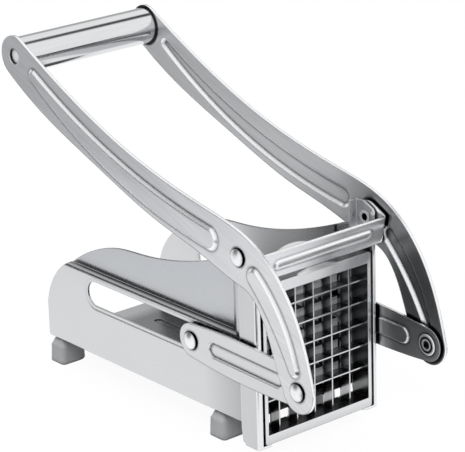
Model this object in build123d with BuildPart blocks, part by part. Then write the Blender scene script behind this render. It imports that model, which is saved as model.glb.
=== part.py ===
from build123d import *
import os
from math import asin, atan2, cos, hypot, radians, sin, sqrt, tan

# French fry cutter: a two-armed lever drives a studded pusher through a grid of blades.
# +Z is up, the blade end faces -Y and the grip lies towards +Y. Right is +X, left is -X.
# A size called "back" is measured towards +Y from the front face of the blade cassette.

# sheet gauges and fits
body_sheet = 1.2
post_sheet = 1.4
bail_sheet = 1.3
arm_sheet = 1.8
link_sheet = 1.4
pusher_sheet = 1.5
running_gap = 0.3
side_gap = 0.1
pin_fit = 0.05

# body trough
lower_half_width = 41.7
upper_half_width = 36.6
body_length = 187.7
floor_height = 15.9
shelf_height = 66.9
flare_rear = 25.0
flare_front = 17.4
bend_radius = 2.0
rear_wall_top = 38.0
rear_corner_inset = 6.7
rear_corner_height = 54.0
shelf_rear_inset = 20.7
hump = [(148.0, 78.0), (123.0, 85.4), (104.0, 87.0), (71.3, 92.1), (42.6, 100.4)]
wall_top = 108.2
slot_height = 14.7
slot_axis_height = 54.5
slot_rear_inset = 38.7
slot_rim_width = 2.2
slot_rim_depth = 0.4
shelf_groove_radius = 0.9
shelf_groove_lift = 0.15
foot_notch_length = 2.6
foot_notch_height = 1.8
foot_notch_depth = 2.0
floor_bead_offset = 17.0
floor_bead_width = 6.0
floor_bead_depth = 0.6
floor_bead_rear_inset = 24.7
floor_bead_front = 62.0

# front posts
post_depth = 15.2
post_bottom = 7.0
post_front_flange = 3.1
post_rear_flange = 6.1
post_lip_reach = 33.0
post_lip_depth = 12.6
post_heel = (12.8, 7.8)
post_heel_top = 19.2
post_top = 123.0
post_top_front = 8.9
post_shoulder = (2.1, 119.8)
post_front_top = 117.0

# lever
pivot_back = 7.4
pivot_height = 114.2
crank_forward = 44.5
crank_drop = 61.8
grip_behind = 191.4
grip_rise = 69.3
arm_grip_margin = 1.5
arm_crank_radius = 11.8
grip_diameter = 21.0
grip_wall = 1.2
grip_end_hole = 9.0
grip_plug = 2.0
bead_height = 1.6
bead_border = 2.2
# outline of an arm: (share of the way from pivot to grip, offset above that line)
handle_top = [(0.784, 6.0), (0.5, 3.0), (0.16, 10.0)]
handle_bottom = [(-0.014, -14.7), (0.135, -16.3), (0.313, -19.9), (0.569, -20.2), (0.849, -17.8)]
# and (share of the way from pivot to crank pin, offset behind that line)
crank_front = [(0.007, -16.1), (0.48, -22.5), (0.891, -15.7)]
crank_rear = [(0.743, 7.5), (0.414, 2.2), (0.248, 4.2)]
# a bead: its high border, the tip that border runs to, its low border and the other tip
upper_bead = (
    [(0.905, 2.9), (0.51, -4.4), (0.115, 3.8)],
    (0.078, -3.2),
    [(0.115, -10.6), (0.51, -17.8), (0.905, -5.7)],
    (0.926, -1.3),
)
lower_bead = (
    [(0.2, 0.2), (0.48, -2.0), (0.86, -0.2)],
    (0.918, -4.6),
    [(0.86, -9.0), (0.48, -14.4), (0.17, -11.5)],
    (0.105, -5.6),
)

# links, rivets and slide axle
pin_back = 51.1
link_end_radius = 9.6
link_middle_half = 11.9
link_panel_width = 10.5
link_panel_margin = 10.5
link_panel_depth = 1.0
panel_slope = 45
axle_radius = 3.0
rivet_radius = 3.0
rivet_bore = 2.0
rivet_tail_lip = 0.8
rivet_tail_height = 0.6
rivet_head_lip = 1.7
rivet_head_height = 2.3
rivet_neck_lip = 0.3
rivet_neck_height = 0.8
rivet_rim = 0.2
collar_radius = 6.0
collar_height = 0.8
collar_socket = 2.4
collar_socket_depth = 1.6
washer_radius = 6.4
bush_flange_lip = 1.65
bush_flange = 1.1
bush_hub_radius = 5.0

# blades and cassette
cell_pitch = 12.7
blade_count = 5
blade_thickness = 0.8
blade_depth = 8.0
blade_edge = 1.5
blade_inset = 3.4
blade_seat = 0.9
blade_slot_fit = 0.06
top_blade_height = 80.7
cassette_half_width = 38.3
cassette_fit = 0.9
cassette_bottom = 7.05
cassette_top = 97.2
cassette_corner = 1.6
opening_half_width = 36.1
opening_bottom = 12.4
opening_top = 90.9
pull_tab_base = 17.0
pull_tab_tip = 5.0
pull_tab_height = 3.6
pull_tab_lean = 18
pull_tab_sheet = 1.2
lift_tab_radius = 32.0
lift_tab_reach = 13.2
lift_tab_lean = 45

# pusher
stud_front = 22.0
stud_length = 7.0
stud_bevel = 1.2
stud_gap = 1.5
edge_stud_margin = 1.2
plate_thickness = 3.0
plate_gap = 0.5
backing_top = 93.4
carriage_half_width = 30.0
carriage_height = 27.0
carriage_arm_height = 17.0
screw_radius = 1.9
screw_head_radius = 3.2
screw_head_height = 1.6
screw_bite = 5.0

# blade lock bracket
bail_bottom = 101.9
bail_bottom_forward = 4.0
bail_top = 116.6
bail_top_forward = 7.0
bail_ear_radius = 8.6
bail_corner = 3.0
bail_band_length = 70.0
bail_band_width = 6.6
bail_band_raise = 1.1
bail_groove_length = 64.0
bail_groove_width = 2.0
bail_groove_depth = 0.8

# rubber feet
foot_length = 13.4
foot_reach = 19.0
foot_side_inset = 0.5
foot_rear_inset = 4.4
foot_front = 38.2
foot_side_top = 10.6
foot_bevel_top = 15.0
foot_draft = 3
foot_slope = 30
foot_neck_inset = 1.3
foot_corner = 2.6
foot_edge = 0.8

# where the driving sizes put things
arm_grip_radius = grip_diameter / 2 + arm_grip_margin
rivet_tail_radius = rivet_radius + rivet_tail_lip
rivet_head_radius = rivet_radius + rivet_head_lip
rivet_neck_radius = rivet_radius + rivet_neck_lip
bush_flange_radius = slot_height / 2 + bush_flange_lip
cassette_depth = post_depth - post_sheet - cassette_fit
slot_rear = body_length - slot_rear_inset
floor_bead_rear = body_length - floor_bead_rear_inset
shelf_rear = body_length - shelf_rear_inset
rear_corner_back = body_length - rear_corner_inset
foot_outer = lower_half_width - foot_side_inset
foot_rear = body_length - foot_rear_inset
grip_end = grip_behind + arm_grip_radius
crank_end = crank_forward + arm_crank_radius
pivot_y = (crank_end - grip_end) / 2
front_y = pivot_y - pivot_back
rear_y = front_y + body_length
body_front_y = front_y + post_depth
pin_y = front_y + pin_back
crank_y = pivot_y - crank_forward
crank_z = pivot_height - crank_drop
link_length = hypot(pin_y - crank_y, slot_axis_height - crank_z)
link_tilt = asin((slot_axis_height - crank_z) / link_length)
post_outer = lower_half_width + post_sheet
bail_inner = post_outer + running_gap + side_gap
bail_outer = bail_inner + bail_sheet
link_inner = post_outer + collar_height + running_gap + side_gap
link_outer = link_inner + link_sheet
arm_inner = link_outer + running_gap
arm_outer = arm_inner + arm_sheet
middle_blade_height = top_blade_height - (blade_count - 1) / 2 * cell_pitch
blade_offsets = [(k - (blade_count - 1) / 2) * cell_pitch for k in range(blade_count)]
stud_size = cell_pitch - blade_thickness - 2 * stud_gap
plate_half_width = upper_half_width - body_sheet - plate_gap
plate_bottom = floor_height + body_sheet + plate_gap
plate_top = opening_top - plate_gap
plate_back = stud_front + stud_length
backing_back = plate_back + plate_thickness
carriage_back = backing_back + pusher_sheet

lever_pivot = (pivot_y, pivot_height)
crank_pin = (crank_y, crank_z)
slide_pin = (pin_y, slot_axis_height)


def back(distance):
    return front_y + distance


def side_plane(x, centre=(0, 0), turn=0):
    """Plane of a side plate: local x runs towards the grip and local y up."""
    along = (0, cos(turn), sin(turn))
    return Plane(origin=(x, *centre), x_dir=along, z_dir=(1, 0, 0))


def turning_plane(centre):
    """Plane through a crosswise axis: local x is the distance from the middle, local y the radius."""
    return Plane(origin=(0, *centre), x_dir=(1, 0, 0), z_dir=(0, -1, 0))


def handle_point(share, offset):
    reach = hypot(grip_behind, grip_rise)
    return (
        share * grip_behind - offset * grip_rise / reach,
        share * grip_rise + offset * grip_behind / reach,
    )


def crank_point(share, offset):
    reach = hypot(crank_forward, crank_drop)
    return (
        -share * crank_forward + offset * crank_drop / reach,
        -share * crank_drop - offset * crank_forward / reach,
    )


def round_point(centre, radius, angle):
    turn = radians(angle)
    return (centre[0] + radius * cos(turn), centre[1] + radius * sin(turn))


def bead_outline(bead, point, reach, inset):
    """The two borders and two tips of a stamped bead, moved inwards by `inset`."""
    high, tip, low, other_tip = bead
    inward = inset / reach if tip[0] < other_tip[0] else -inset / reach
    return (
        [point(share, offset - inset) for share, offset in high],
        point(tip[0] + inward, tip[1]),
        [point(share, offset + inset) for share, offset in low],
        point(other_tip[0] - inward, other_tip[1]),
    )


def turned_part(centre, outline):
    """Revolve a closed (distance, radius) outline about a crosswise axis."""
    with BuildPart() as turned:
        with BuildSketch(turning_plane(centre)):
            with BuildLine():
                Polyline(*outline, close=True)
            make_face()
        revolve(axis=Axis((0, *centre), (1, 0, 0)))
    return turned.part


def domed_pin(centre, inner, seat):
    """A rivet from `inner` out to its domed head, which stands on a short neck on the face at `seat`."""
    neck_top = seat + rivet_neck_height
    rim = neck_top + rivet_rim
    top = seat + rivet_head_height
    dome_radius = (rivet_head_radius**2 + (top - rim) ** 2) / (2 * (top - rim))
    half_way = top - dome_radius + sqrt(dome_radius**2 - (rivet_head_radius / 2) ** 2)
    with BuildPart() as pin:
        with BuildSketch(turning_plane(centre)):
            with BuildLine():
                Polyline(
                    (top, 0),
                    (inner, 0),
                    (inner, rivet_radius),
                    (seat, rivet_radius),
                    (seat, rivet_neck_radius),
                    (neck_top, rivet_neck_radius),
                    (neck_top, rivet_head_radius),
                    (rim, rivet_head_radius),
                )
                ThreePointArc((rim, rivet_head_radius), (half_way, rivet_head_radius / 2), (top, 0))
            make_face()
        revolve(axis=Axis((0, *centre), (1, 0, 0)))
    return pin.part


def save(piece, name):
    piece.part.label = name
    export_step(piece.part, f"parts/{name}.step")


def save_pair(piece, name):
    """Save the piece for the right side and its mirror image for the left."""
    save(piece, f"{name}_right")
    with BuildPart() as twin:
        mirror(piece.part, about=Plane.YZ)
    save(twin, f"{name}_left")


os.makedirs("parts", exist_ok=True)

# body shell: floor, lower walls, shelf and inset upper walls
floor_line = floor_height + body_sheet / 2
shelf_line = shelf_height - body_sheet / 2
lower_line = lower_half_width - body_sheet / 2
upper_line = upper_half_width - body_sheet / 2

with BuildPart() as body_shell:
    with BuildSketch(Plane.XZ.offset(-rear_y)):
        with BuildLine():
            FilletPolyline(
                (-upper_line, shelf_line),
                (-lower_line, shelf_line),
                (-lower_line, floor_line),
                (lower_line, floor_line),
                (lower_line, shelf_line),
                (upper_line, shelf_line),
                radius=bend_radius,
            )
        trace(line_width=body_sheet)
    extrude(amount=rear_y - body_front_y)
    with BuildSketch(Plane.XY.offset(shelf_height - body_sheet)):
        for side in (1, -1):
            with BuildLine():
                FilletPolyline(
                    (side * upper_line, rear_y),
                    (side * upper_line, back(flare_rear)),
                    (side * lower_line, back(flare_front)),
                    (side * lower_line, body_front_y),
                    radius=bend_radius,
                )
            trace(line_width=body_sheet)
    extrude(amount=wall_top - shelf_height + body_sheet)
    for side in (1, -1):
        with BuildSketch(Plane.YZ.offset(side * (lower_half_width - body_sheet))):
            with Locations((back(slot_rear / 2), slot_axis_height)):
                SlotOverall(slot_rear + 2 * slot_rim_width, slot_height + 2 * slot_rim_width)
        extrude(amount=-side * slot_rim_depth)
        with BuildSketch(Plane.YZ.offset(side * lower_half_width)):
            with Locations((back(slot_rear / 2), slot_axis_height)):
                SlotOverall(slot_rear + 2 * slot_rim_width, slot_height + 2 * slot_rim_width)
        extrude(amount=-side * slot_rim_depth, taper=panel_slope, mode=Mode.SUBTRACT)
    groove_x = upper_half_width + shelf_groove_radius
    with BuildSketch(Plane.XZ.offset(-rear_y)):
        with Locations(*[(side * groove_x, shelf_height + shelf_groove_lift) for side in (1, -1)]):
            Circle(shelf_groove_radius)
    extrude(amount=rear_y - back(flare_rear), mode=Mode.SUBTRACT)
    with BuildSketch(Plane.YZ):
        with BuildLine():
            Polyline(
                (body_front_y, wall_top),
                (body_front_y, floor_height),
                (rear_y, floor_height),
                (rear_y, rear_wall_top),
            )
            ThreePointArc(
                (rear_y, rear_wall_top),
                (back(rear_corner_back), rear_corner_height),
                (back(shelf_rear), shelf_height),
            )
            Spline(
                (back(shelf_rear), shelf_height),
                *[(back(distance), height) for distance, height in hump],
                (back(flare_rear - 3.0), wall_top),
            )
            Line((back(flare_rear - 3.0), wall_top), (body_front_y, wall_top))
        make_face()
    extrude(amount=lower_half_width + 1, both=True, mode=Mode.INTERSECT)
    with BuildSketch(Plane.YZ):
        with Locations((back(slot_rear / 2), slot_axis_height)):
            SlotOverall(slot_rear, slot_height)
    extrude(amount=lower_half_width + 1, both=True, mode=Mode.SUBTRACT)
    bead_middle = back((floor_bead_front + floor_bead_rear) / 2)
    bead_length = floor_bead_rear - floor_bead_front
    with BuildSketch(Plane.XY.offset(floor_height)):
        with Locations((floor_bead_offset, bead_middle), (-floor_bead_offset, bead_middle)):
            SlotOverall(bead_length, floor_bead_width, rotation=90)
    extrude(amount=-floor_bead_depth)
    with BuildSketch(Plane.XY.offset(floor_height + body_sheet)):
        with Locations((floor_bead_offset, bead_middle), (-floor_bead_offset, bead_middle)):
            SlotOverall(bead_length - body_sheet, floor_bead_width - body_sheet, rotation=90)
    extrude(amount=-floor_bead_depth, mode=Mode.SUBTRACT)
    for side in (1, -1):
        with BuildSketch(Plane.YZ.offset(side * lower_half_width)):
            with Locations(*[(back(spot + foot_length / 2), floor_height) for spot in (foot_rear, foot_front)]):
                Rectangle(foot_notch_length, foot_notch_height)
        extrude(amount=-side * foot_notch_depth, mode=Mode.SUBTRACT)
save(body_shell, "body_shell")

# front posts: C channels with an ear on top and a lip below
post_line = lower_half_width + post_sheet / 2

with BuildPart() as front_post:
    with BuildSketch(Plane.XY.offset(post_bottom)):
        with BuildLine():
            FilletPolyline(
                (post_outer - post_front_flange, back(post_sheet / 2)),
                (post_line, back(post_sheet / 2)),
                (post_line, back(post_depth - post_sheet / 2)),
                (post_outer - post_rear_flange, back(post_depth - post_sheet / 2)),
                radius=bend_radius - post_sheet / 2,
            )
        trace(line_width=post_sheet)
    extrude(amount=post_top - post_bottom)
    with BuildSketch(Plane.YZ):
        with BuildLine():
            Polyline(
                (back(0), post_bottom),
                (back(0), post_front_top),
                (back(post_shoulder[0]), post_shoulder[1]),
                (back(post_top_front), post_top),
                (back(post_depth), post_top),
                (back(post_depth), post_heel_top),
                (back(post_heel[0]), post_heel[1]),
                (back(post_heel[0]), post_bottom),
                close=True,
            )
        make_face()
    extrude(amount=post_outer + 1, mode=Mode.INTERSECT)
    with BuildSketch(Plane.XY.offset(post_bottom)):
        with Locations(((post_lip_reach + post_outer) / 2, back(post_lip_depth / 2))):
            RectangleRounded(post_outer - post_lip_reach, post_lip_depth, bend_radius)
    extrude(amount=-post_sheet)
    with BuildSketch(side_plane(post_outer, lever_pivot)):
        Circle(rivet_radius + pin_fit)
    extrude(amount=-post_sheet - 1, mode=Mode.SUBTRACT)
save_pair(front_post, "front_post")

# pivot rivets and spacers on the post ears
rivet_inner = lower_half_width - rivet_tail_height
with BuildPart() as upper_rivet:
    add(domed_pin(lever_pivot, rivet_inner, arm_outer + side_gap))
    with BuildSketch(side_plane(rivet_inner, lever_pivot)):
        Circle(rivet_tail_radius)
    extrude(amount=rivet_tail_height)
    with BuildSketch(side_plane(rivet_inner, lever_pivot)):
        Circle(rivet_bore)
    extrude(amount=arm_inner - rivet_inner, mode=Mode.SUBTRACT)
save_pair(upper_rivet, "upper_rivet")

with BuildPart() as upper_washer:
    with BuildSketch(side_plane(bail_outer + side_gap, lever_pivot)):
        Circle(washer_radius)
        Circle(rivet_radius + pin_fit, mode=Mode.SUBTRACT)
    extrude(amount=arm_inner - bail_outer - 2 * side_gap)
save_pair(upper_washer, "upper_washer")

# rubber feet
def rubber_foot(centre_back):
    """A moulded foot: tapering sides, a wide bevel on top and a narrow neck under the floor."""
    bevel_inset = tan(radians(foot_draft)) * foot_side_top
    neck_inset = bevel_inset + tan(radians(foot_slope)) * (foot_bevel_top - foot_side_top) + foot_neck_inset
    with BuildPart() as foot:
        for base, top, inset, slope in (
            (0, foot_side_top, 0, foot_draft),
            (foot_side_top, foot_bevel_top, bevel_inset, foot_slope),
            (foot_bevel_top, floor_height, neck_inset, 0),
        ):
            round_x = foot_outer - foot_reach + foot_length / 2
            with BuildSketch(Plane.XY.offset(base)):
                with Locations((foot_outer - inset, back(centre_back))):
                    Rectangle(
                        foot_outer - inset - round_x,
                        foot_length - 2 * inset,
                        align=(Align.MAX, Align.CENTER),
                    )
                with Locations((round_x, back(centre_back))):
                    Circle(foot_length / 2 - inset)
                outer_corners = vertices().group_by(Axis.X)[-1]
                fillet(outer_corners, foot_corner - inset * foot_corner / foot_length)
            extrude(amount=top - base, taper=slope)
        fillet(faces().sort_by(Axis.Z)[0].edges(), foot_edge)
    return foot


save_pair(rubber_foot(foot_rear), "foot_rear")
save_pair(rubber_foot(foot_front), "foot_front")

# lever arms: bent plates with two stamped beads
grip = (grip_behind, grip_rise)
crank = (-crank_forward, -crank_drop)
grip_top = round_point(grip, arm_grip_radius, 118)
grip_bottom = round_point(grip, arm_grip_radius, -54)
crank_left = round_point(crank, arm_crank_radius, 174)
crank_right = round_point(crank, arm_crank_radius, -9)

with BuildPart() as lever_arm:
    with BuildSketch(side_plane(arm_inner, lever_pivot)):
        with BuildLine():
            Spline(
                grip_top,
                *[handle_point(*p) for p in handle_top],
                *[crank_point(*p) for p in crank_front],
                crank_left,
            )
            ThreePointArc(crank_left, round_point(crank, arm_crank_radius, -97), crank_right)
            Spline(
                crank_right,
                *[crank_point(*p) for p in crank_rear],
                *[handle_point(*p) for p in handle_bottom],
                grip_bottom,
            )
            ThreePointArc(grip_bottom, round_point(grip, arm_grip_radius, 32), grip_top)
        make_face()
    extrude(amount=arm_sheet)
    for bead, point, reach in (
        (upper_bead, handle_point, hypot(grip_behind, grip_rise)),
        (lower_bead, crank_point, hypot(crank_forward, crank_drop)),
    ):
        for face_x, edge, mode in ((arm_outer, 0, Mode.ADD), (arm_inner, arm_sheet / 2, Mode.SUBTRACT)):
            for x, inset in ((face_x, edge), (face_x + bead_height, edge + bead_border)):
                high, tip, low, other_tip = bead_outline(bead, point, reach, inset)
                with BuildSketch(side_plane(x, lever_pivot)):
                    with BuildLine():
                        ThreePointArc(*high)
                        ThreePointArc(high[-1], tip, low[0])
                        ThreePointArc(*low)
                        ThreePointArc(low[-1], other_tip, high[0])
                    make_face()
            loft(mode=mode)
    with BuildSketch(side_plane(arm_inner, lever_pivot)):
        Circle(rivet_radius + pin_fit)
        with Locations(crank):
            Circle(rivet_radius + pin_fit)
        with Locations(grip):
            Circle(grip_end_hole / 2)
    extrude(amount=arm_sheet + bead_height, mode=Mode.SUBTRACT)
save_pair(lever_arm, "lever_arm")

with BuildPart() as grip_tube:
    with BuildSketch(side_plane(0, (pivot_y + grip_behind, pivot_height + grip_rise))):
        Circle(grip_diameter / 2)
        Circle(grip_diameter / 2 - grip_wall, mode=Mode.SUBTRACT)
    extrude(amount=arm_inner, both=True)
save(grip_tube, "grip_tube")

with BuildPart() as grip_plug_disc:
    with BuildSketch(side_plane(arm_inner - grip_plug, (pivot_y + grip_behind, pivot_height + grip_rise))):
        Circle(grip_diameter / 2 - grip_wall)
    extrude(amount=grip_plug)
save_pair(grip_plug_disc, "grip_plug")

with BuildPart() as lower_rivet:
    add(domed_pin(crank_pin, arm_inner, arm_outer))
save_pair(lower_rivet, "lower_rivet")

# links from the crank pins to the slide axle
with BuildPart() as link:
    with BuildSketch(side_plane(link_inner, crank_pin, link_tilt)):
        with BuildLine():
            ThreePointArc((0, -link_end_radius), (-link_end_radius, 0), (0, link_end_radius))
            ThreePointArc(
                (0, link_end_radius),
                (link_length / 2, link_middle_half),
                (link_length, link_end_radius),
            )
            ThreePointArc(
                (link_length, link_end_radius),
                (link_length + link_end_radius, 0),
                (link_length, -link_end_radius),
            )
            ThreePointArc(
                (link_length, -link_end_radius),
                (link_length / 2, -link_middle_half),
                (0, -link_end_radius),
            )
        make_face()
    extrude(amount=link_sheet)
    panel_length = link_length - 2 * (link_panel_margin + rivet_radius)
    with BuildSketch(side_plane(link_inner, crank_pin, link_tilt)):
        with Locations((link_length / 2, 0)):
            SlotOverall(panel_length, link_panel_width)
    extrude(amount=-link_panel_depth, taper=panel_slope)
    with BuildSketch(side_plane(link_outer, crank_pin, link_tilt)):
        with Locations((link_length / 2, 0)):
            SlotOverall(panel_length - link_sheet, link_panel_width - link_sheet)
    extrude(amount=-link_panel_depth, taper=panel_slope, mode=Mode.SUBTRACT)
    with BuildSketch(side_plane(link_inner, crank_pin, link_tilt)):
        with Locations((0, 0), (link_length, 0)):
            Circle(rivet_radius + pin_fit)
    extrude(amount=link_sheet, mode=Mode.SUBTRACT)
save_pair(link, "link")

collar_face = link_inner - collar_height
with BuildPart() as link_collar:
    add(
        turned_part(
            crank_pin,
            [
                (collar_face, 0),
                (collar_face, collar_radius - collar_height / 2),
                (collar_face + collar_height / 2, collar_radius),
                (link_inner, collar_radius),
                (link_inner, rivet_radius),
                (link_outer, rivet_radius),
                (link_outer, 0),
            ],
        )
    )
    with BuildSketch(side_plane(collar_face, crank_pin)):
        RegularPolygon(collar_socket, 6)
    extrude(amount=collar_socket_depth, mode=Mode.SUBTRACT)
save_pair(link_collar, "link_collar")

# slide axle with its bushes and caps
with BuildPart() as slide_axle:
    with BuildSketch(side_plane(0, slide_pin)):
        Circle(axle_radius)
    extrude(amount=link_inner, both=True)
save(slide_axle, "slide_axle")

with BuildPart() as axle_cap:
    add(domed_pin(slide_pin, link_inner, link_outer + side_gap))
save_pair(axle_cap, "axle_cap")

bush_radius = slot_height / 2 - running_gap
wall_inner = lower_half_width - body_sheet
flange_in = wall_inner - slot_rim_depth - running_gap
flange_out = lower_half_width + running_gap
with BuildPart() as slide_bush:
    add(
        turned_part(
            slide_pin,
            [
                (carriage_half_width + side_gap, axle_radius + pin_fit),
                (carriage_half_width + side_gap, bush_hub_radius),
                (flange_in - bush_flange, bush_hub_radius),
                (flange_in - bush_flange, bush_flange_radius),
                (flange_in, bush_flange_radius),
                (flange_in, bush_radius),
                (flange_out, bush_radius),
                (flange_out, bush_flange_radius),
                (flange_out + bush_flange, bush_flange_radius),
                (flange_out + bush_flange, bush_hub_radius),
                (link_inner - side_gap, bush_hub_radius),
                (link_inner - side_gap, axle_radius + pin_fit),
            ],
        )
    )
save_pair(slide_bush, "slide_bush")

# pusher: studded plate, backing plate, carriage and screws
edge_column = plate_half_width - stud_size / 2
lowest_row = plate_bottom + edge_stud_margin + stud_size / 2
highest_row = plate_top - stud_size / 2
inner_steps = [(k + 0.5) * cell_pitch for k in range(blade_count // 2)]
stud_columns = [-edge_column, *[-s for s in reversed(inner_steps)], *inner_steps, edge_column]
inner_rows = [middle_blade_height + s for s in [-t for t in reversed(inner_steps)] + inner_steps]
stud_rows = [lowest_row, *inner_rows, highest_row]
screw_spots = [(x, z) for x in (stud_columns[1], stud_columns[-2]) for z in inner_rows[1:3]]

with BuildPart() as pusher_plate:
    with BuildSketch(Plane.XZ.offset(-back(backing_back))):
        with Locations((0, (plate_bottom + plate_top) / 2)):
            RectangleRounded(2 * plate_half_width, plate_top - plate_bottom, bend_radius)
    extrude(amount=plate_thickness)
    with BuildSketch(Plane.XZ.offset(-back(plate_back))):
        for column in stud_columns:
            for row in stud_rows:
                with Locations((column, row)):
                    Rectangle(stud_size, stud_size)
    extrude(amount=stud_length)
    stud_faces = faces().filter_by(Axis.Y).group_by(Axis.Y)[0]
    chamfer(stud_faces.edges(), stud_bevel)
    with BuildSketch(Plane.XZ.offset(-back(backing_back))):
        with Locations(*screw_spots):
            Circle(screw_radius + pin_fit)
    extrude(amount=screw_bite + pin_fit, mode=Mode.SUBTRACT)
save(pusher_plate, "pusher_plate")

with BuildPart() as pusher_backing_plate:
    with BuildSketch(Plane.XZ.offset(-back(carriage_back))):
        with Locations((0, (plate_bottom + backing_top) / 2)):
            RectangleRounded(2 * plate_half_width, backing_top - plate_bottom, 2 * bend_radius)
    extrude(amount=pusher_sheet)
    with BuildSketch(Plane.XZ.offset(-back(carriage_back))):
        with Locations(*screw_spots):
            Circle(screw_radius + pin_fit)
    extrude(amount=pusher_sheet, mode=Mode.SUBTRACT)
save(pusher_backing_plate, "pusher_backing_plate")

web_y = back(carriage_back + pusher_sheet / 2)
arm_line = carriage_half_width - pusher_sheet / 2
with BuildPart() as pusher_carriage:
    with BuildSketch(Plane.XY.offset(slot_axis_height - carriage_height / 2)):
        with BuildLine():
            FilletPolyline(
                (-arm_line, pin_y + carriage_arm_height / 2),
                (-arm_line, web_y),
                (arm_line, web_y),
                (arm_line, pin_y + carriage_arm_height / 2),
                radius=bend_radius,
            )
        trace(line_width=pusher_sheet)
    extrude(amount=carriage_height)
    with BuildSketch(Plane.YZ):
        with Locations((back(carriage_back), slot_axis_height)):
            Rectangle(pusher_sheet + bend_radius, carriage_height, align=(Align.MIN, Align.CENTER))
        with Locations(slide_pin):
            Circle(carriage_arm_height / 2)
        with Locations(((back(carriage_back) + pin_y) / 2, slot_axis_height)):
            Rectangle(pin_y - back(carriage_back), carriage_arm_height)
    extrude(amount=carriage_half_width + 1, both=True, mode=Mode.INTERSECT)
    with BuildSketch(side_plane(0, slide_pin)):
        Circle(axle_radius + pin_fit)
    extrude(amount=carriage_half_width + 1, both=True, mode=Mode.SUBTRACT)
    with BuildSketch(Plane.XZ.offset(-back(carriage_back + pusher_sheet))):
        with Locations(*screw_spots):
            Circle(screw_radius + pin_fit)
    extrude(amount=pusher_sheet, mode=Mode.SUBTRACT)
save(pusher_carriage, "pusher_carriage")

screw_seat = back(carriage_back + pusher_sheet)
with BuildPart() as pusher_screws:
    with BuildSketch(Plane.XZ.offset(-screw_seat)):
        with Locations(*screw_spots):
            Circle(screw_head_radius)
    extrude(amount=-screw_head_height)
    chamfer(faces().filter_by(Axis.Y).group_by(Axis.Y)[-1].edges(), screw_head_height / 2)
    with BuildSketch(Plane.XZ.offset(-screw_seat)):
        with Locations(*screw_spots):
            Circle(screw_radius)
    extrude(amount=screw_bite + 2 * pusher_sheet)
save(pusher_screws, "pusher_screws")

# blade lock bracket: a hoop over the cassette on the same pivots
with BuildPart() as blade_lock_bracket:
    with BuildSketch(Plane.YZ):
        with BuildLine():
            Line(
                (back(-bail_bottom_forward), bail_bottom),
                (back(-bail_top_forward), bail_top),
            )
            CenterArc(lever_pivot, bail_ear_radius, 0, 360)
        make_hull()
    extrude(amount=bail_outer, both=True)
    lean_edges = [e for e in edges().filter_by(Plane.YZ) if e.center().Y < back(-bail_bottom_forward)]
    fillet(lean_edges, bail_corner)
    with BuildSketch(Plane.YZ):
        with BuildLine():
            Polyline(
                (back(bail_sheet - bail_bottom_forward), bail_bottom),
                (back(bail_sheet - bail_top_forward), bail_top),
                (back(bail_sheet - bail_top_forward), bail_top + 4 * bail_corner),
                (back(pivot_back + 2 * bail_ear_radius), bail_top + 4 * bail_corner),
                (back(pivot_back + 2 * bail_ear_radius), bail_bottom - bail_corner),
                (back(bail_sheet - bail_bottom_forward), bail_bottom - bail_corner),
                close=True,
            )
        make_face()
    extrude(amount=bail_inner, both=True, mode=Mode.SUBTRACT)
    with BuildSketch(side_plane(0, lever_pivot)):
        Circle(rivet_radius + pin_fit)
    extrude(amount=bail_outer, both=True, mode=Mode.SUBTRACT)
    bail_lean = atan2(bail_top_forward - bail_bottom_forward, bail_top - bail_bottom)
    band_plane = Plane(
        origin=(0, back(-(bail_bottom_forward + bail_top_forward) / 2), (bail_bottom + bail_top) / 2),
        x_dir=(1, 0, 0),
        z_dir=(0, -cos(bail_lean), -sin(bail_lean)),
    )
    with BuildSketch(band_plane):
        SlotOverall(bail_band_length, bail_band_width)
    extrude(amount=bail_band_raise, taper=panel_slope)
    with BuildSketch(band_plane.offset(bail_band_raise)):
        SlotOverall(bail_groove_length, bail_groove_width)
    extrude(amount=-bail_groove_depth, taper=panel_slope / 2, mode=Mode.SUBTRACT)
    with BuildSketch(band_plane.offset(-bail_sheet)):
        SlotOverall(bail_band_length - 2 * bail_sheet, bail_band_width - 2 * bail_sheet)
    extrude(amount=bail_band_raise / 2, taper=panel_slope, mode=Mode.SUBTRACT)
save(blade_lock_bracket, "blade_lock_bracket")

# cassette: frame with a pull tab, and two interlocked sets of blades
blade_front = front_y + blade_inset
blade_rear = blade_front + blade_depth
blade_middle = (blade_front + blade_rear) / 2
opening_middle = (opening_bottom + opening_top) / 2
opening_height = opening_top - opening_bottom
seat_width = blade_thickness + 2 * blade_slot_fit

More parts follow.
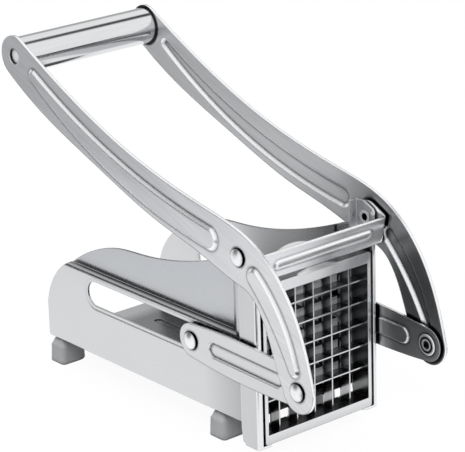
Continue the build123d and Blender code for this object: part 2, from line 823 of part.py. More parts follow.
with BuildPart() as cassette_frame:
    with BuildSketch(Plane.XZ.offset(-back(cassette_depth))):
        with Locations((0, (cassette_bottom + cassette_top) / 2)):
            RectangleRounded(2 * cassette_half_width, cassette_top - cassette_bottom, cassette_corner)
        with Locations((0, opening_middle)):
            Rectangle(2 * opening_half_width, opening_height, mode=Mode.SUBTRACT)
    extrude(amount=cassette_depth)
    with BuildSketch(Plane.XZ.offset(-back(cassette_depth))):
        with Locations(*[(x, opening_middle) for x in blade_offsets]):
            Rectangle(seat_width, opening_height + 2 * blade_seat)
        with Locations(*[(0, middle_blade_height + z) for z in blade_offsets]):
            Rectangle(2 * (opening_half_width + blade_seat), seat_width)
    extrude(amount=cassette_depth - blade_inset + blade_slot_fit, mode=Mode.SUBTRACT)
    tab_lean = radians(pull_tab_lean)
    pull_tab_plane = Plane(
        origin=(0, back(pull_tab_sheet / 2), cassette_top - pull_tab_sheet / 2),
        x_dir=(1, 0, 0),
        z_dir=(0, -cos(tab_lean), -sin(tab_lean)),
    )
    with BuildSketch(pull_tab_plane):
        with BuildLine():
            FilletPolyline(
                (-pull_tab_base, 0),
                (pull_tab_base, 0),
                (pull_tab_tip, pull_tab_height),
                (-pull_tab_tip, pull_tab_height),
                radius=pull_tab_sheet / 2,
                close=True,
            )
        make_face()
    extrude(amount=pull_tab_sheet / 2, both=True)
    tab_lean = radians(lift_tab_lean)
    lift_tab_plane = Plane(
        origin=(0, back(cassette_depth - pull_tab_sheet), cassette_top - pull_tab_sheet / 2),
        x_dir=(1, 0, 0),
        z_dir=(0, -cos(tab_lean), sin(tab_lean)),
    )
    with BuildSketch(lift_tab_plane):
        with Locations((0, lift_tab_reach - lift_tab_radius)):
            Circle(lift_tab_radius)
        Rectangle(
            2 * lift_tab_radius,
            2 * lift_tab_radius,
            align=(Align.CENTER, Align.MAX),
            mode=Mode.SUBTRACT,
        )
    extrude(amount=pull_tab_sheet / 2, both=True)
save(cassette_frame, "cassette_frame")


def blade_outline(offset):
    """Cross-section of the blade at this offset: its sharp edge points to the rear."""
    half = blade_thickness / 2
    return [
        (offset - half, blade_front),
        (offset + half, blade_front),
        (offset + half, blade_rear - blade_edge),
        (offset, blade_rear),
        (offset - half, blade_rear - blade_edge),
    ]


with BuildPart() as vertical_blades:
    with BuildSketch(Plane.XY.offset(opening_bottom - blade_seat + blade_slot_fit)):
        for offset in blade_offsets:
            with BuildLine():
                Polyline(*blade_outline(offset), close=True)
            make_face()
    extrude(amount=opening_height + 2 * (blade_seat - blade_slot_fit))
    with BuildSketch(Plane.XZ.offset(-blade_middle - blade_slot_fit)):
        with Locations(*[(0, middle_blade_height + z) for z in blade_offsets]):
            Rectangle(2 * opening_half_width, seat_width)
    extrude(amount=blade_depth, mode=Mode.SUBTRACT)
save(vertical_blades, "vertical_blades")

lying_plane = Plane(
    origin=(-opening_half_width - blade_seat + blade_slot_fit, 0, middle_blade_height),
    x_dir=(0, 0, -1),
    z_dir=(1, 0, 0),
)
with BuildPart() as horizontal_blades:
    with BuildSketch(lying_plane):
        for offset in blade_offsets:
            with BuildLine():
                Polyline(*blade_outline(offset), close=True)
            make_face()
    extrude(amount=2 * (opening_half_width + blade_seat - blade_slot_fit))
    with BuildSketch(Plane.XZ.offset(-blade_middle)):
        with Locations(*[(x, opening_middle) for x in blade_offsets]):
            Rectangle(seat_width, opening_height + 2 * blade_seat)
    extrude(amount=-blade_depth, mode=Mode.SUBTRACT)
save(horizontal_blades, "horizontal_blades")
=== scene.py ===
import math

import bpy
from mathutils import Matrix, Vector

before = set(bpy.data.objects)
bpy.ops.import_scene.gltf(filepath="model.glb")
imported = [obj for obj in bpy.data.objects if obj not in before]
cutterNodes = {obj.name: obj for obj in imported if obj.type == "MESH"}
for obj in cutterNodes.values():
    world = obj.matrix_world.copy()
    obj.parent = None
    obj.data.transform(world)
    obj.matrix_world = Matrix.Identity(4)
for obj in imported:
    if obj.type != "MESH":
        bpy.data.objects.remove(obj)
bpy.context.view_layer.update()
print("cutter loaded:", len(cutterNodes), "pieces")


def newMaterial(name):
    material = bpy.data.materials.new(name)
    material.use_nodes = True
    material.node_tree.nodes.clear()
    return material, material.node_tree


def linkOrSet(tree, socket, value):
    if isinstance(value, bpy.types.NodeSocket):
        tree.links.new(value, socket)
    else:
        socket.default_value = value


def remap(tree, value, low, high, toLow=0.0, toHigh=1.0):
    node = tree.nodes.new("ShaderNodeMapRange")
    for name, number in (("From Min", low), ("From Max", high), ("To Min", toLow), ("To Max", toHigh)):
        node.inputs[name].default_value = number
    linkOrSet(tree, node.inputs["Value"], value)
    return node.outputs["Result"]


def calculate(tree, kind, first, second=0.0):
    node = tree.nodes.new("ShaderNodeMath")
    node.operation = kind
    linkOrSet(tree, node.inputs[0], first)
    linkOrSet(tree, node.inputs[1], second)
    return node.outputs[0]


def multiply(tree, first, second):
    return calculate(tree, "MULTIPLY", first, second)


def opposite(tree, value):
    return calculate(tree, "SUBTRACT", 1.0, value)


def splitVector(tree, vector):
    node = tree.nodes.new("ShaderNodeSeparateXYZ")
    tree.links.new(vector, node.inputs[0])
    return node.outputs


def dotWith(tree, vector, direction):
    node = tree.nodes.new("ShaderNodeVectorMath")
    node.operation = "DOT_PRODUCT"
    node.inputs[1].default_value = Vector(direction).normalized()
    tree.links.new(vector, node.inputs[0])
    return node.outputs["Value"]


def stretchedCoords(tree, stretch=(1.0, 1.0, 1.0), turn=(0.0, 0.0, 0.0)):
    coords = tree.nodes.new("ShaderNodeTexCoord")
    turned = tree.nodes.new("ShaderNodeMapping")
    turned.inputs["Rotation"].default_value = turn
    tree.links.new(coords.outputs["Object"], turned.inputs["Vector"])
    scaled = tree.nodes.new("ShaderNodeMapping")
    scaled.inputs["Scale"].default_value = stretch
    tree.links.new(turned.outputs["Vector"], scaled.inputs["Vector"])
    return scaled.outputs["Vector"]


def grain(tree, coords, scale, detail, rough):
    node = tree.nodes.new("ShaderNodeTexNoise")
    node.inputs["Scale"].default_value = scale
    node.inputs["Detail"].default_value = detail
    node.inputs["Roughness"].default_value = rough
    tree.links.new(coords, node.inputs["Vector"])
    return node.outputs["Fac"]


def blendColor(tree, factor, first, second, kind="MIX"):
    node = tree.nodes.new("ShaderNodeMix")
    node.data_type = "RGBA"
    node.blend_type = kind
    linkOrSet(tree, node.inputs[0], factor)
    linkOrSet(tree, node.inputs[6], first)
    linkOrSet(tree, node.inputs[7], second)
    return node.outputs[2]


def blendLevel(tree, factor, first, second):
    node = tree.nodes.new("ShaderNodeMix")
    linkOrSet(tree, node.inputs[0], factor)
    linkOrSet(tree, node.inputs[2], first)
    linkOrSet(tree, node.inputs[3], second)
    return node.outputs[0]


coolTint = (0.985, 0.996, 1.015)


def grey(level):
    return tuple(level * part for part in coolTint) + (1.0,)


shadeTone = grey(0.02)  # what steel falls to where it mirrors only dark corners


def darken(tree, amount, color):
    return blendColor(tree, amount, color, shadeTone)


def darkenNear(tree, opening, color):
    return blendColor(tree, opening, shadeTone, color)


# rays sent out to find edges and corners, the lean at which an edge starts and is full, and what is square on
probes = {"edgeSamples": 6, "cornerSamples": 8, "leanStart": 0.08, "leanFull": 0.5, "squareOn": 0.9}


def edgeNormal(tree, radius):  # rounded normal near sharp edges, and where it leans up or down
    bevel = tree.nodes.new("ShaderNodeBevel")
    bevel.samples = probes["edgeSamples"]
    bevel.inputs["Radius"].default_value = radius
    flat = tree.nodes.new("ShaderNodeNewGeometry")
    lean = tree.nodes.new("ShaderNodeVectorMath")
    lean.operation = "SUBTRACT"
    tree.links.new(bevel.outputs["Normal"], lean.inputs[0])
    tree.links.new(flat.outputs["Normal"], lean.inputs[1])
    rise = splitVector(tree, lean.outputs[0])["Z"]
    upEdge = remap(tree, rise, probes["leanStart"], probes["leanFull"])
    downEdge = remap(tree, rise, -probes["leanStart"], -probes["leanFull"])
    return bevel.outputs["Normal"], upEdge, downEdge


def openness(tree, reach, dark, fromOpen, toOpen):  # painted shade: dark in a corner, rising to 1 where the space is open
    around = tree.nodes.new("ShaderNodeAmbientOcclusion")
    around.samples = probes["cornerSamples"]
    around.inputs["Distance"].default_value = reach
    return remap(tree, around.outputs["AO"], fromOpen, toOpen, dark, 1.0)


sideAxis = (1.0, 0.0, 0.0)
upAxis = (0.0, 0.0, 1.0)


def facing(tree, direction):  # how squarely the bare surface faces a direction
    flat = tree.nodes.new("ShaderNodeNewGeometry")
    return dotWith(tree, flat.outputs["True Normal"], direction)


def facingEither(tree, direction):
    return calculate(tree, "ABSOLUTE", facing(tree, direction))


def addBump(tree, height, strength, distance, normal):
    bump = tree.nodes.new("ShaderNodeBump")
    bump.inputs["Strength"].default_value = strength
    bump.inputs["Distance"].default_value = distance
    tree.links.new(height, bump.inputs["Height"])
    tree.links.new(normal, bump.inputs["Normal"])
    return bump.outputs["Normal"]


def closeMaterial(tree, shader):
    output = tree.nodes.new("ShaderNodeOutputMaterial")
    tree.links.new(shader.outputs[0], output.inputs["Surface"])


def surfaceShader(tree, color, rough, normal):
    shader = tree.nodes.new("ShaderNodeBsdfPrincipled")
    tree.links.new(color, shader.inputs["Base Color"])
    tree.links.new(rough, shader.inputs["Roughness"])
    tree.links.new(normal, shader.inputs["Normal"])
    closeMaterial(tree, shader)
    return shader


def ringShade(tree, coords, rings):  # painted shade of the hole and groove: dark rings about a pin's axis, on its end turned to the body
    sideways = calculate(tree, "ABSOLUTE", splitVector(tree, coords)["X"])
    innerEnd = calculate(tree, "LESS_THAN", sideways, rings["sideReach"])
    toAxis = tree.nodes.new("ShaderNodeMapping")
    toAxis.inputs["Location"].default_value = (0.0, -rings["middle"].y, -rings["middle"].z)
    toAxis.inputs["Scale"].default_value = (0.0, 1.0, 1.0)
    tree.links.new(coords, toAxis.inputs["Vector"])
    radius = tree.nodes.new("ShaderNodeVectorMath")
    radius.operation = "LENGTH"
    tree.links.new(toAxis.outputs["Vector"], radius.inputs[0])
    shade = 0.0
    for inner, outer in rings["bands"]:
        past = calculate(tree, "GREATER_THAN", radius.outputs["Value"], inner)
        within = calculate(tree, "LESS_THAN", radius.outputs["Value"], outer)
        shade = calculate(tree, "MAXIMUM", shade, multiply(tree, past, within))
    return multiply(tree, shade, innerEnd)


def towardsBody(tree, place):  # the faces turned to the middle of the cutter
    outward = multiply(tree, facing(tree, sideAxis), calculate(tree, "SIGN", place["X"]))
    return calculate(tree, "LESS_THAN", outward, -probes["squareOn"])


def troughShade(tree, look, place, sheet):
    height = calculate(tree, "SUBTRACT", place["Z"], look["shelfLevel"])
    sideways = calculate(tree, "ABSOLUTE", place["X"])
    above = remap(tree, height, 0.0, look["upperStart"])
    wallLine = remap(tree, height, look["shelfStart"], 0.0, look["lowerInner"], look["upperInner"])
    inside = calculate(tree, "LESS_THAN", sideways, wallLine)

    # upper walls
    toned = blendColor(tree, 1.0, sheet, grey(look["upperTone"]), "MULTIPLY")
    sheet = blendColor(tree, multiply(tree, above, opposite(tree, inside)), sheet, toned)

    # painted shade on the shelf between lower and upper walls, and on the other level faces from there up
    fromShelf = remap(tree, height, look["shelfStart"], look["shelfFull"])
    overShelf = remap(tree, height, look["shelfFade"], look["shelfEnd"], look["shelfShade"], 0.0)
    wallStart, wallEnd = (look["upperInner"] + gap for gap in look["wallGap"])
    shelf = multiply(tree, multiply(tree, fromShelf, overShelf), remap(tree, sideways, wallStart, wallEnd))
    level = remap(tree, facing(tree, upAxis), *look["levelRange"], 0.0, look["shelfShade"])
    sheet = darken(tree, calculate(tree, "MAXIMUM", shelf, multiply(tree, level, fromShelf)), sheet)

    # painted shade: lower walls fade darker towards the posts
    lowerOutside = opposite(tree, calculate(tree, "MAXIMUM", inside, above))
    toPost = remap(tree, place["Y"], *look["postFade"], look["postShade"], 0.0)
    sheet = darken(tree, multiply(tree, lowerOutside, toPost), sheet)

    # painted shade: upper inner walls darken towards the blades, lower ones under the shelf, and the bed off
    # its rear edge
    forward = remap(tree, place["Y"], *look["bladeFade"], look["bladeShade"], 0.0)
    underShelf = remap(tree, height, -look["underDepth"], 0.0, *look["underShade"])
    covered = remap(tree, place["Y"], *look["coverFade"])
    innerShade = blendLevel(tree, above, multiply(tree, underShelf, covered), forward)
    onBed = calculate(tree, "LESS_THAN", place["Z"], look["bedTop"])
    bedShade = remap(tree, place["Y"], *look["bedFade"], 0.0, look["bedShade"])
    innerShade = blendLevel(tree, onBed, innerShade, bedShade)
    sheet = darken(tree, multiply(tree, inside, innerShade), sheet)
    # painted shade deep inside the trough
    depth = opposite(tree, openness(tree, look["insideReach"], look["insideDark"], *look["insideRange"]))
    return darken(tree, multiply(tree, inside, depth), sheet)


# what all the steel has where its own look says nothing else; a grain is scale, detail and roughness
steelLook = {
    "turn": (0.0, 0.0, 0.0),
    "lines": (1100.0, 5.0, 0.65), "streaks": (160.0, 3.0, 0.5), "clouds": (16.0, 3.0, 0.5),
    "lineShare": 0.6, "toneSpread": 0.05, "toneRange": (0.3, 0.7),
    "cloudTone": 0.93, "cloudShare": 0.3, "cloudRange": (0.35, 0.7),
    "edgeRadius": 0.0006, "edgeShine": 0.5, "edgeDark": 0.6, "edgeTones": (0.95, 0.04),
    "seamReach": 0.0022, "seamDark": 0.25, "seamRange": (0.15, 0.75),
    "creaseRange": (0.86, 0.985), "nearRange": (0.2, 0.9),
    "flankRange": (0.985, 0.95), "rimRange": (0.905, 0.865), "rimTone": 0.03, "levelRange": (0.9, 0.97),
    "roughSpread": 0.03, "roughRange": (0.25, 0.75), "inwardRough": 0.0,
    "bump": 0.08, "bumpDepth": 0.00004,
}


def brushedTone(tree, look, brushing, clouds):
    tone, spread = look["tone"], look["toneSpread"]
    darker, lighter = grey(tone * (1 - spread)), grey(min(1.0, tone * (1 + spread)))
    sheet = blendColor(tree, remap(tree, brushing, *look["toneRange"]), darker, lighter)
    cloudy = remap(tree, clouds, *look["cloudRange"], 0.0, look["cloudShare"])
    return blendColor(tree, cloudy, sheet, grey(tone * look["cloudTone"]))


def formShade(tree, look, coords, sheet):  # painted highlight and shade on faces that some pieces have brighter or darker
    if "plate" in look:  # painted highlight: cut edges and the pressed flanks of beads and panels are painted brighter than the sheet
        flank = remap(tree, facingEither(tree, look["plate"]), *look["flankRange"], 0.0, look["flankShine"])
        sheet = blendColor(tree, flank, sheet, grey(1.0))
    if "rimShade" in look:  # painted shade on the steep rim of a domed head
        rim = remap(tree, facingEither(tree, sideAxis), *look["rimRange"], 0.0, look["rimShade"])
        sheet = blendColor(tree, rim, sheet, grey(look["rimTone"]))
    if "levelDark" in look:  # level faces lie in the shade of what stands over them
        level = remap(tree, facing(tree, upAxis), *look["levelRange"], 0.0, look["levelDark"])
        sheet = darken(tree, level, sheet)
    if "rings" in look:
        sheet = darken(tree, ringShade(tree, coords, look["rings"]), sheet)
    return sheet


def brushedSheet(name, ownLook):
    look = {**steelLook, **ownLook}
    material, tree = newMaterial(name)
    across = stretchedCoords(tree, look["stretch"], look["turn"])
    plain = stretchedCoords(tree)
    place = splitVector(tree, plain)
    lines = grain(tree, across, *look["lines"])
    streaks = grain(tree, across, *look["streaks"])
    clouds = grain(tree, plain, *look["clouds"])
    brushing = blendLevel(tree, look["lineShare"], streaks, lines)
    rounded, upEdge, downEdge = edgeNormal(tree, look["edgeRadius"])
    edgeBright, edgeDull = look["edgeTones"]

    sheet = brushedTone(tree, look, brushing, clouds)
    # painted highlight on edges that lean up, painted shade on edges that lean down
    sheet = blendColor(tree, multiply(tree, upEdge, look["edgeShine"]), sheet, grey(edgeBright))
    sheet = blendColor(tree, multiply(tree, downEdge, look["edgeDark"]), sheet, grey(edgeDull))
    # painted shade in seams and corners
    sheet = darkenNear(tree, openness(tree, look["seamReach"], look["seamDark"], *look["seamRange"]), sheet)
    sheet = formShade(tree, look, plain, sheet)
    inward = 0.0
    if "inwardShade" in look:  # painted shade on the sides turned to the body, which mirror the dark inside of the cutter; some of these sides are rougher too
        inward = towardsBody(tree, place)
        shade = look["inwardShade"]
        if "inwardFade" in look:
            shade = remap(tree, place["Y"], *look["inwardFade"], shade, look["inwardEndShade"])
        sheet = darken(tree, multiply(tree, inward, shade), sheet)
    # painted shade in creases and near other parts
    for corner in ("crease", "near"):
        if corner + "Reach" in look:
            reach, dark = look[corner + "Reach"], look[corner + "Dark"]
            sheet = darkenNear(tree, openness(tree, reach, dark, *look[corner + "Range"]), sheet)
    if "upperTone" in look:
        sheet = troughShade(tree, look, place, sheet)

    smoothest, roughest = look["rough"] - look["roughSpread"], look["rough"] + look["roughSpread"]
    rough = remap(tree, brushing, *look["roughRange"], smoothest, roughest)
    rough = calculate(tree, "ADD", rough, multiply(tree, inward, look["inwardRough"]))
    normal = addBump(tree, lines, look["bump"], look["bumpDepth"], rounded)
    shader = surfaceShader(tree, sheet, rough, normal)
    shader.inputs["Metallic"].default_value = 1.0
    return material


# what all the plastic and rubber has where its own look says nothing else
mouldedLook = {
    "pores": (1500.0, 2.0, 0.6), "clouds": (60.0, 3.0, 0.5), "toneSpread": 0.1, "grainRange": (0.3, 0.7),
    "edgeRadius": 0.0006, "edgeShine": 0.4, "edgeDark": 0.3, "edgeTone": 0.03,
    "edgeHighlightGain": 1.5, "edgeHighlightLift": 0.03, "litFaceRange": (0.25, 0.8),
    "seamReach": 0.003, "seamDark": 0.2, "seamRange": (0.15, 0.75), "seamTone": 0.008,
    "roughSpread": 0.06, "shine": 0.5, "bump": 0.2, "bumpDepth": 0.00006,
}


def mouldedPlastic(name, ownLook):
    look = {**mouldedLook, **ownLook}
    material, tree = newMaterial(name)
    plain = stretchedCoords(tree)
    pores = grain(tree, plain, *look["pores"])
    clouds = grain(tree, plain, *look["clouds"])
    rounded, upEdge, downEdge = edgeNormal(tree, look["edgeRadius"])

    tone, spread = look["tone"], look["toneSpread"]
    darker, lighter = grey(tone * (1 - spread)), grey(tone * (1 + spread))
    color = blendColor(tree, remap(tree, clouds, *look["grainRange"]), darker, lighter)
    # painted light: faces turned to the given side are painted paler
    if "litFaceTone" in look:
        litShare = remap(tree, facing(tree, look["face"]), *look["litFaceRange"])
        color = blendColor(tree, litShare, color, grey(look["litFaceTone"]))
    # painted highlight on edges that lean up, painted shade on edges that lean down
    edgeHighlight = grey(min(1.0, tone * look["edgeHighlightGain"] + look["edgeHighlightLift"]))
    color = blendColor(tree, multiply(tree, upEdge, look["edgeShine"]), color, edgeHighlight)
    color = blendColor(tree, multiply(tree, downEdge, look["edgeDark"]), color, grey(look["edgeTone"]))
    # painted shade in seams and corners
    seam = openness(tree, look["seamReach"], look["seamDark"], *look["seamRange"])
    color = blendColor(tree, seam, grey(look["seamTone"]), color)

    smoothest, roughest = look["rough"] - look["roughSpread"], look["rough"] + look["roughSpread"]
    rough = remap(tree, pores, *look["grainRange"], smoothest, roughest)
    normal = addBump(tree, pores, look["bump"], look["bumpDepth"], rounded)
    shader = surfaceShader(tree, color, rough, normal)
    shader.inputs["Specular IOR Level"].default_value = look["shine"]
    return material


def dress(names, material):
    for name in names:
        slots = cutterNodes[name].data.materials
        slots.clear()
        slots.append(material)


def bothSides(name):
    return [name + "_left", name + "_right"]


def middleOf(name):
    corners = [Vector(corner) for corner in cutterNodes[name].bound_box]
    return sum(corners, Vector()) / len(corners)


# one folded sheet with its grain along the bed; fades are places along the trough, in metres
troughLook = {
    "tone": 0.70, "rough": 0.27, "stretch": (1.0, 0.03, 1.0), "bump": 0.005,
    "toneSpread": 0.008, "roughSpread": 0.01, "edgeShine": 0.4,
    "seamReach": 0.004, "seamDark": 0.3, "nearReach": 0.02, "nearDark": 0.55,
    "shelfLevel": 0.0665, "shelfStart": -0.001, "shelfFull": 0.0005, "shelfFade": 0.0015, "shelfEnd": 0.003,
    "shelfShade": 0.75, "levelRange": (0.5, 0.9), "upperStart": 0.004, "upperTone": 0.83,
    "lowerInner": 0.0411, "upperInner": 0.036, "wallGap": (0.0007, 0.0009),
    "postFade": (-0.066, -0.035), "postShade": 0.3, "bladeFade": (-0.05, 0.03), "bladeShade": 0.72,
    "underDepth": 0.03, "underShade": (0.15, 0.75), "coverFade": (0.055, 0.02),
    "bedTop": 0.02, "bedFade": (0.099, 0.088), "bedShade": 0.55,
    "insideReach": 0.045, "insideDark": 0.0, "insideRange": (0.2, 0.8),
}
dress(["body_shell"], brushedSheet("troughSteel", troughLook))

postLook = {
    "tone": 0.63, "rough": 0.24, "stretch": (1.0, 1.0, 0.03), "bump": 0.04,
    "seamDark": 0.35, "plate": sideAxis, "flankShine": 0.6,
}
dress(bothSides("front_post"), brushedSheet("postSteel", postLook))

leverLook = {
    "tone": 0.72, "rough": 0.25, "stretch": (1.0, 0.04, 1.0), "turn": (math.radians(-20.0), 0.0, 0.0),
    "bump": 0.06, "toneSpread": 0.12, "edgeRadius": 0.0012, "edgeShine": 0.6, "edgeDark": 0.9,
    "creaseReach": 0.0022, "creaseDark": 0.0, "plate": sideAxis, "flankShine": 0.9,
    "inwardShade": 0.55, "inwardFade": (-0.075, -0.045), "inwardEndShade": 0.12, "inwardRough": 0.1,
}
dress(bothSides("lever_arm"), brushedSheet("leverSteel", leverLook))

linkLook = {
    "tone": 0.70, "rough": 0.25, "stretch": (1.0, 0.04, 1.0), "bump": 0.05, "edgeRadius": 0.001,
    "edgeDark": 0.9, "creaseReach": 0.0022, "creaseDark": 0.0, "plate": sideAxis, "flankShine": 0.9,
    "inwardShade": 0.4, "inwardRough": 0.1,
}
dress(bothSides("link"), brushedSheet("linkSteel", linkLook))

gripLook = {"tone": 0.76, "rough": 0.12, "stretch": (0.03, 1.0, 1.0), "toneSpread": 0.07, "bump": 0.05}
dress(["grip_tube"], brushedSheet("gripSteel", gripLook))

# painted reflection: the plug end is painted near white for the bright room its polished end mirrors; the
# ring round it is painted shade
plugLook = {"tone": 0.9, "rough": 0.4, "seamReach": 0.0035, "seamDark": 0.0}
dress(bothSides("grip_plug"), mouldedPlastic("plugBrightPaint", plugLook))

bracketLook = {
    "tone": 0.81, "rough": 0.22, "stretch": (0.03, 1.0, 1.0), "edgeRadius": 0.0009, "edgeShine": 0.6,
    "creaseReach": 0.0015, "creaseDark": 0.45, "plate": (0.0, -0.98, -0.2), "flankShine": 1.0,
}
dress(["blade_lock_bracket"], brushedSheet("bracketSteel", bracketLook))

cassetteLook = {
    "tone": 0.80, "rough": 0.22, "stretch": (0.05, 1.0, 1.0), "seamReach": 0.009, "seamDark": 0.2,
    "nearReach": 0.02, "nearDark": 0.2, "levelDark": 0.78, "inwardShade": 0.6,
}
dress(["cassette_frame"], brushedSheet("cassetteSteel", cassetteLook))

bladeLook = {
    "tone": 0.72, "rough": 0.16, "stretch": (1.0, 0.04, 1.0), "edgeRadius": 0.0002, "edgeShine": 0.6,
    "seamReach": 0.005, "nearReach": 0.014, "nearDark": 0.08,
}
dress(["vertical_blades", "horizontal_blades"], brushedSheet("bladeSteel", bladeLook))

rivetLook = {
    "tone": 0.95, "rough": 0.32, "stretch": (1.0, 1.0, 1.0), "toneSpread": 0.03, "edgeRadius": 0.0003,
    "seamReach": 0.0025, "rimShade": 0.4,
}
dress(bothSides("lower_rivet") + bothSides("axle_cap"), brushedSheet("rivetSteel", rivetLook))

pivotRings = {"middle": middleOf("upper_rivet_left"), "sideReach": 0.046, "bands": [(0.0, 0.0021)]}
dress(bothSides("upper_rivet"), brushedSheet("pivotSteel", dict(rivetLook, rings=pivotRings)))

pinLook = {
    "tone": 0.95, "rough": 0.5, "stretch": (1.0, 1.0, 1.0), "toneSpread": 0.03, "edgeRadius": 0.0004,
    "seamReach": 0.004, "seamDark": 0.0,
}
dress(bothSides("upper_washer") + ["slide_axle", "pusher_screws"], brushedSheet("pinSteel", pinLook))

collarRings = {
    "middle": middleOf("link_collar_left"), "sideReach": 0.1, "bands": [(0.0, 0.0023), (0.0034, 0.0047)],
}
collarLook = dict(pinLook, rough=0.4, rings=collarRings)
dress(bothSides("link_collar"), brushedSheet("collarSteel", collarLook))

backingLook = {"tone": 0.50, "rough": 0.26, "stretch": (0.04, 1.0, 1.0), "nearReach": 0.03, "nearDark": 0.1}
dress(["pusher_backing_plate", "pusher_carriage"], brushedSheet("backingSteel", backingLook))

# the moulding is black; the ends of the studs, turned to the front, get painted light and look pale
studLook = {
    "tone": 0.015, "rough": 0.45, "shine": 0.25, "edgeShine": 0.1, "seamReach": 0.004, "seamDark": 0.03,
    "face": (0.0, -1.0, 0.0), "litFaceTone": 0.95,
}
dress(["pusher_plate"], mouldedPlastic("pusherPlastic", studLook))

bushLook = {"tone": 0.04, "rough": 0.5}
dress(bothSides("slide_bush"), mouldedPlastic("bushNylon", bushLook))

# painted light: the rubber's faces turned up are painted lighter
footLook = {
    "tone": 0.42, "rough": 0.60, "bump": 0.4, "shine": 0.35, "seamReach": 0.0025, "seamDark": 0.0,
    "edgeRadius": 0.004, "face": upAxis, "litFaceTone": 0.7,
}
dress(bothSides("foot_front") + bothSides("foot_rear"), mouldedPlastic("footRubber", footLook))
print("finishes done")


def mirrorRays(tree):  # rays that come from the camera or off metal
    rays = tree.nodes.new("ShaderNodeLightPath")
    passed = calculate(tree, "MAXIMUM", rays.outputs["Is Glossy Ray"], rays.outputs["Is Transmission Ray"])
    return calculate(tree, "MAXIMUM", rays.outputs["Is Camera Ray"], passed)


def levelBoard(name, sides, height, material):
    fromX, toX, fromY, toY = sides
    corners = [(fromX, fromY, height), (toX, fromY, height), (toX, toY, height), (fromX, toY, height)]
    mesh = bpy.data.meshes.new(name)
    mesh.from_pydata(corners, [], [(0, 1, 2, 3)])
    mesh.materials.append(material)
    board = bpy.data.objects.new(name, mesh)
    bpy.context.scene.collection.objects.link(board)
    return board


plainWhite = (1.0, 1.0, 1.0, 1.0)
floorLook = {"reach": 4.5, "tone": 0.92, "glowShare": 0.92, "glowStrength": 1.03}

floorMaterial, tree = newMaterial("floorPaper")
paper = tree.nodes.new("ShaderNodeBsdfDiffuse")
paper.inputs["Color"].default_value = grey(floorLook["tone"])
glow = tree.nodes.new("ShaderNodeEmission")
glow.inputs["Color"].default_value = plainWhite
glow.inputs["Strength"].default_value = floorLook["glowStrength"]
mix = tree.nodes.new("ShaderNodeMixShader")
tree.links.new(multiply(tree, mirrorRays(tree), floorLook["glowShare"]), mix.inputs[0])
tree.links.new(paper.outputs[0], mix.inputs[1])
tree.links.new(glow.outputs[0], mix.inputs[2])
closeMaterial(tree, mix)
reach = floorLook["reach"]
studioFloor = levelBoard("studioFloor", (-reach, reach, -reach, reach), 0.0, floorMaterial)

# flags are panels that only show in the steel: direction, full within, gone beyond (degrees), level
studioSky = {
    "diffuse": 0.55,
    "flags": {
        "leftRear": ((-0.66, 0.70, 0.20), 15.0, 27.0, 0.02),
        "rearLow": ((0.60, 0.74, 0.26), 8.0, 20.0, 0.45),
        "gripLine": ((0.60, -0.10, 0.79), 5.0, 11.0, 0.06),
    },
}

world = bpy.data.worlds.new("studioWorld")
bpy.context.scene.world = world
world.use_nodes = True
tree = world.node_tree
tree.nodes.clear()
background = tree.nodes.new("ShaderNodeBackground")
background.inputs["Color"].default_value = plainWhite
rays = tree.nodes.new("ShaderNodeLightPath")
coords = tree.nodes.new("ShaderNodeTexCoord")
mirrored = 1.0
for aim, narrow, wide, level in studioSky["flags"].values():
    toFlag = dotWith(tree, coords.outputs["Generated"], aim)
    cover = remap(tree, toFlag, math.cos(math.radians(wide)), math.cos(math.radians(narrow)))
    mirrored = blendLevel(tree, cover, mirrored, level)
seen = blendLevel(tree, rays.outputs["Is Camera Ray"], mirrored, 1.0)
strength = blendLevel(tree, mirrorRays(tree), studioSky["diffuse"], seen)
tree.links.new(strength, background.inputs["Strength"])
output = tree.nodes.new("ShaderNodeOutputWorld")
tree.links.new(background.outputs[0], output.inputs["Surface"])

lampAim = (0.0, 0.0, 0.08)
lamps = {
    "keyLamp": {"place": (-1.1, -0.7, 1.7), "size": 1.0, "power": 15.0},
    "fillLamp": {"place": (1.3, -0.9, 1.2), "size": 0.9, "power": 4.0},
}


def softLamp(name, place, size, power):
    lamp = bpy.data.lights.new(name, "AREA")
    lamp.shape = "RECTANGLE"
    lamp.size = size
    lamp.size_y = size
    lamp.energy = power
    holder = bpy.data.objects.new(name, lamp)
    holder.location = place
    holder.visible_glossy = False
    holder.rotation_euler = (Vector(lampAim) - Vector(place)).to_track_quat("-Z", "Y").to_euler()
    bpy.context.scene.collection.objects.link(holder)


for name, lamp in lamps.items():
    softLamp(name, **lamp)


def mirrorCard(name, sides, height, axis, stops):  # a graded board that only shows in the steel
    material, tree = newMaterial(name + "Paint")
    coords = tree.nodes.new("ShaderNodeTexCoord")
    along = splitVector(tree, coords.outputs["Object"])[axis]
    start, end = stops[0][0], stops[-1][0]
    ramp = tree.nodes.new("ShaderNodeValToRGB")
    ramp.color_ramp.interpolation = "EASE"
    marks = ramp.color_ramp.elements
    while len(marks) < len(stops):
        marks.new(0.5)
    for mark, (spot, level) in zip(marks, stops):
        mark.position = (spot - start) / (end - start)
        mark.color = grey(level)
    tree.links.new(remap(tree, along, start, end), ramp.inputs["Fac"])
    paint = tree.nodes.new("ShaderNodeEmission")
    tree.links.new(ramp.outputs["Color"], paint.inputs["Color"])
    closeMaterial(tree, paint)
    card = levelBoard(name, sides, height, material)
    card.visible_camera = False
    card.visible_diffuse = False
    card.visible_shadow = False


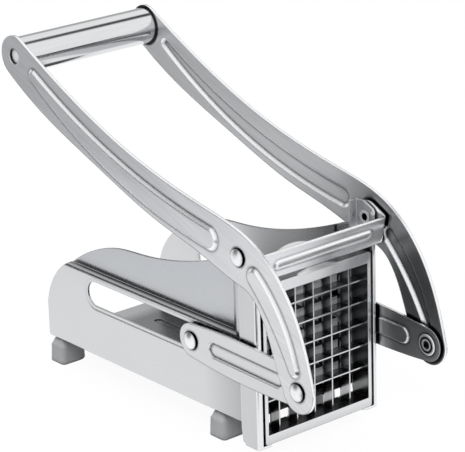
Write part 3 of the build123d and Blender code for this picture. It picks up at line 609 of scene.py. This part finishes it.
# sides are the first and last x, then the first and last y; stops are places along the axis with their level
cards = {
    "rearLeft": {"sides": (-1.3, -0.17, 0.15, 1.6), "height": 0.002, "axis": "Y",
                 "stops": [(0.15, 1.0), (0.24, 0.86), (0.36, 0.64), (0.52, 0.53), (1.6, 0.47)]},
    "frontRight": {"sides": (0.05, 0.21, -0.245, -0.15), "height": 0.002, "axis": "X",
                   "stops": [(0.05, 1.0), (0.11, 0.92), (0.155, 0.4), (0.21, 0.35)]},
    "rearRight": {"sides": (0.06, 0.115, 0.1, 0.7), "height": 0.002, "axis": "X",
                  "stops": [(0.06, 0.08), (0.115, 0.08)]},
    "cornerLine": {"sides": (-0.4, -0.09, -0.27, -0.13), "height": 0.002, "axis": "X",
                   "stops": [(-0.4, 0.05), (-0.09, 0.05)]},
    "gripLowLine": {"sides": (0.29, 1.1, -0.66, -0.29), "height": 0.003, "axis": "X",
                    "stops": [(0.29, 0.0), (1.1, 0.0)]},
    "gripUnder": {"sides": (0.12, 0.34, -0.14, 0.09), "height": 0.002, "axis": "X",
                  "stops": [(0.12, 0.6), (0.34, 0.6)]},
}
for name, card in cards.items():
    mirrorCard(name + "Card", **card)
print("studio done")


view = {
    "place": (-0.80933, -0.98990, 0.55705),
    "right": (0.76366, -0.64503, -0.02780),
    "up": (0.23716, 0.24022, 0.94130),
    "back": (-0.60049, -0.72543, 0.33642),
    "lens": 191.35,
    "sensor": 36.0,
    "nearest": 0.05,
    "width": 465,
    "height": 452,
}
camera = bpy.data.cameras.new("frontLeftCamera")
camera.lens = view["lens"]
camera.sensor_width = view["sensor"]
camera.sensor_fit = "HORIZONTAL"
camera.clip_start = view["nearest"]
cameraHolder = bpy.data.objects.new("frontLeftCamera", camera)
turned = Matrix((view["right"], view["up"], view["back"])).transposed().to_4x4()
cameraHolder.matrix_world = Matrix.Translation(view["place"]) @ turned
bpy.context.scene.collection.objects.link(cameraHolder)
scene = bpy.context.scene
scene.camera = cameraHolder
scene.render.resolution_x = view["width"]
scene.render.resolution_y = view["height"]
scene.view_settings.view_transform = "Standard"
print("camera done")
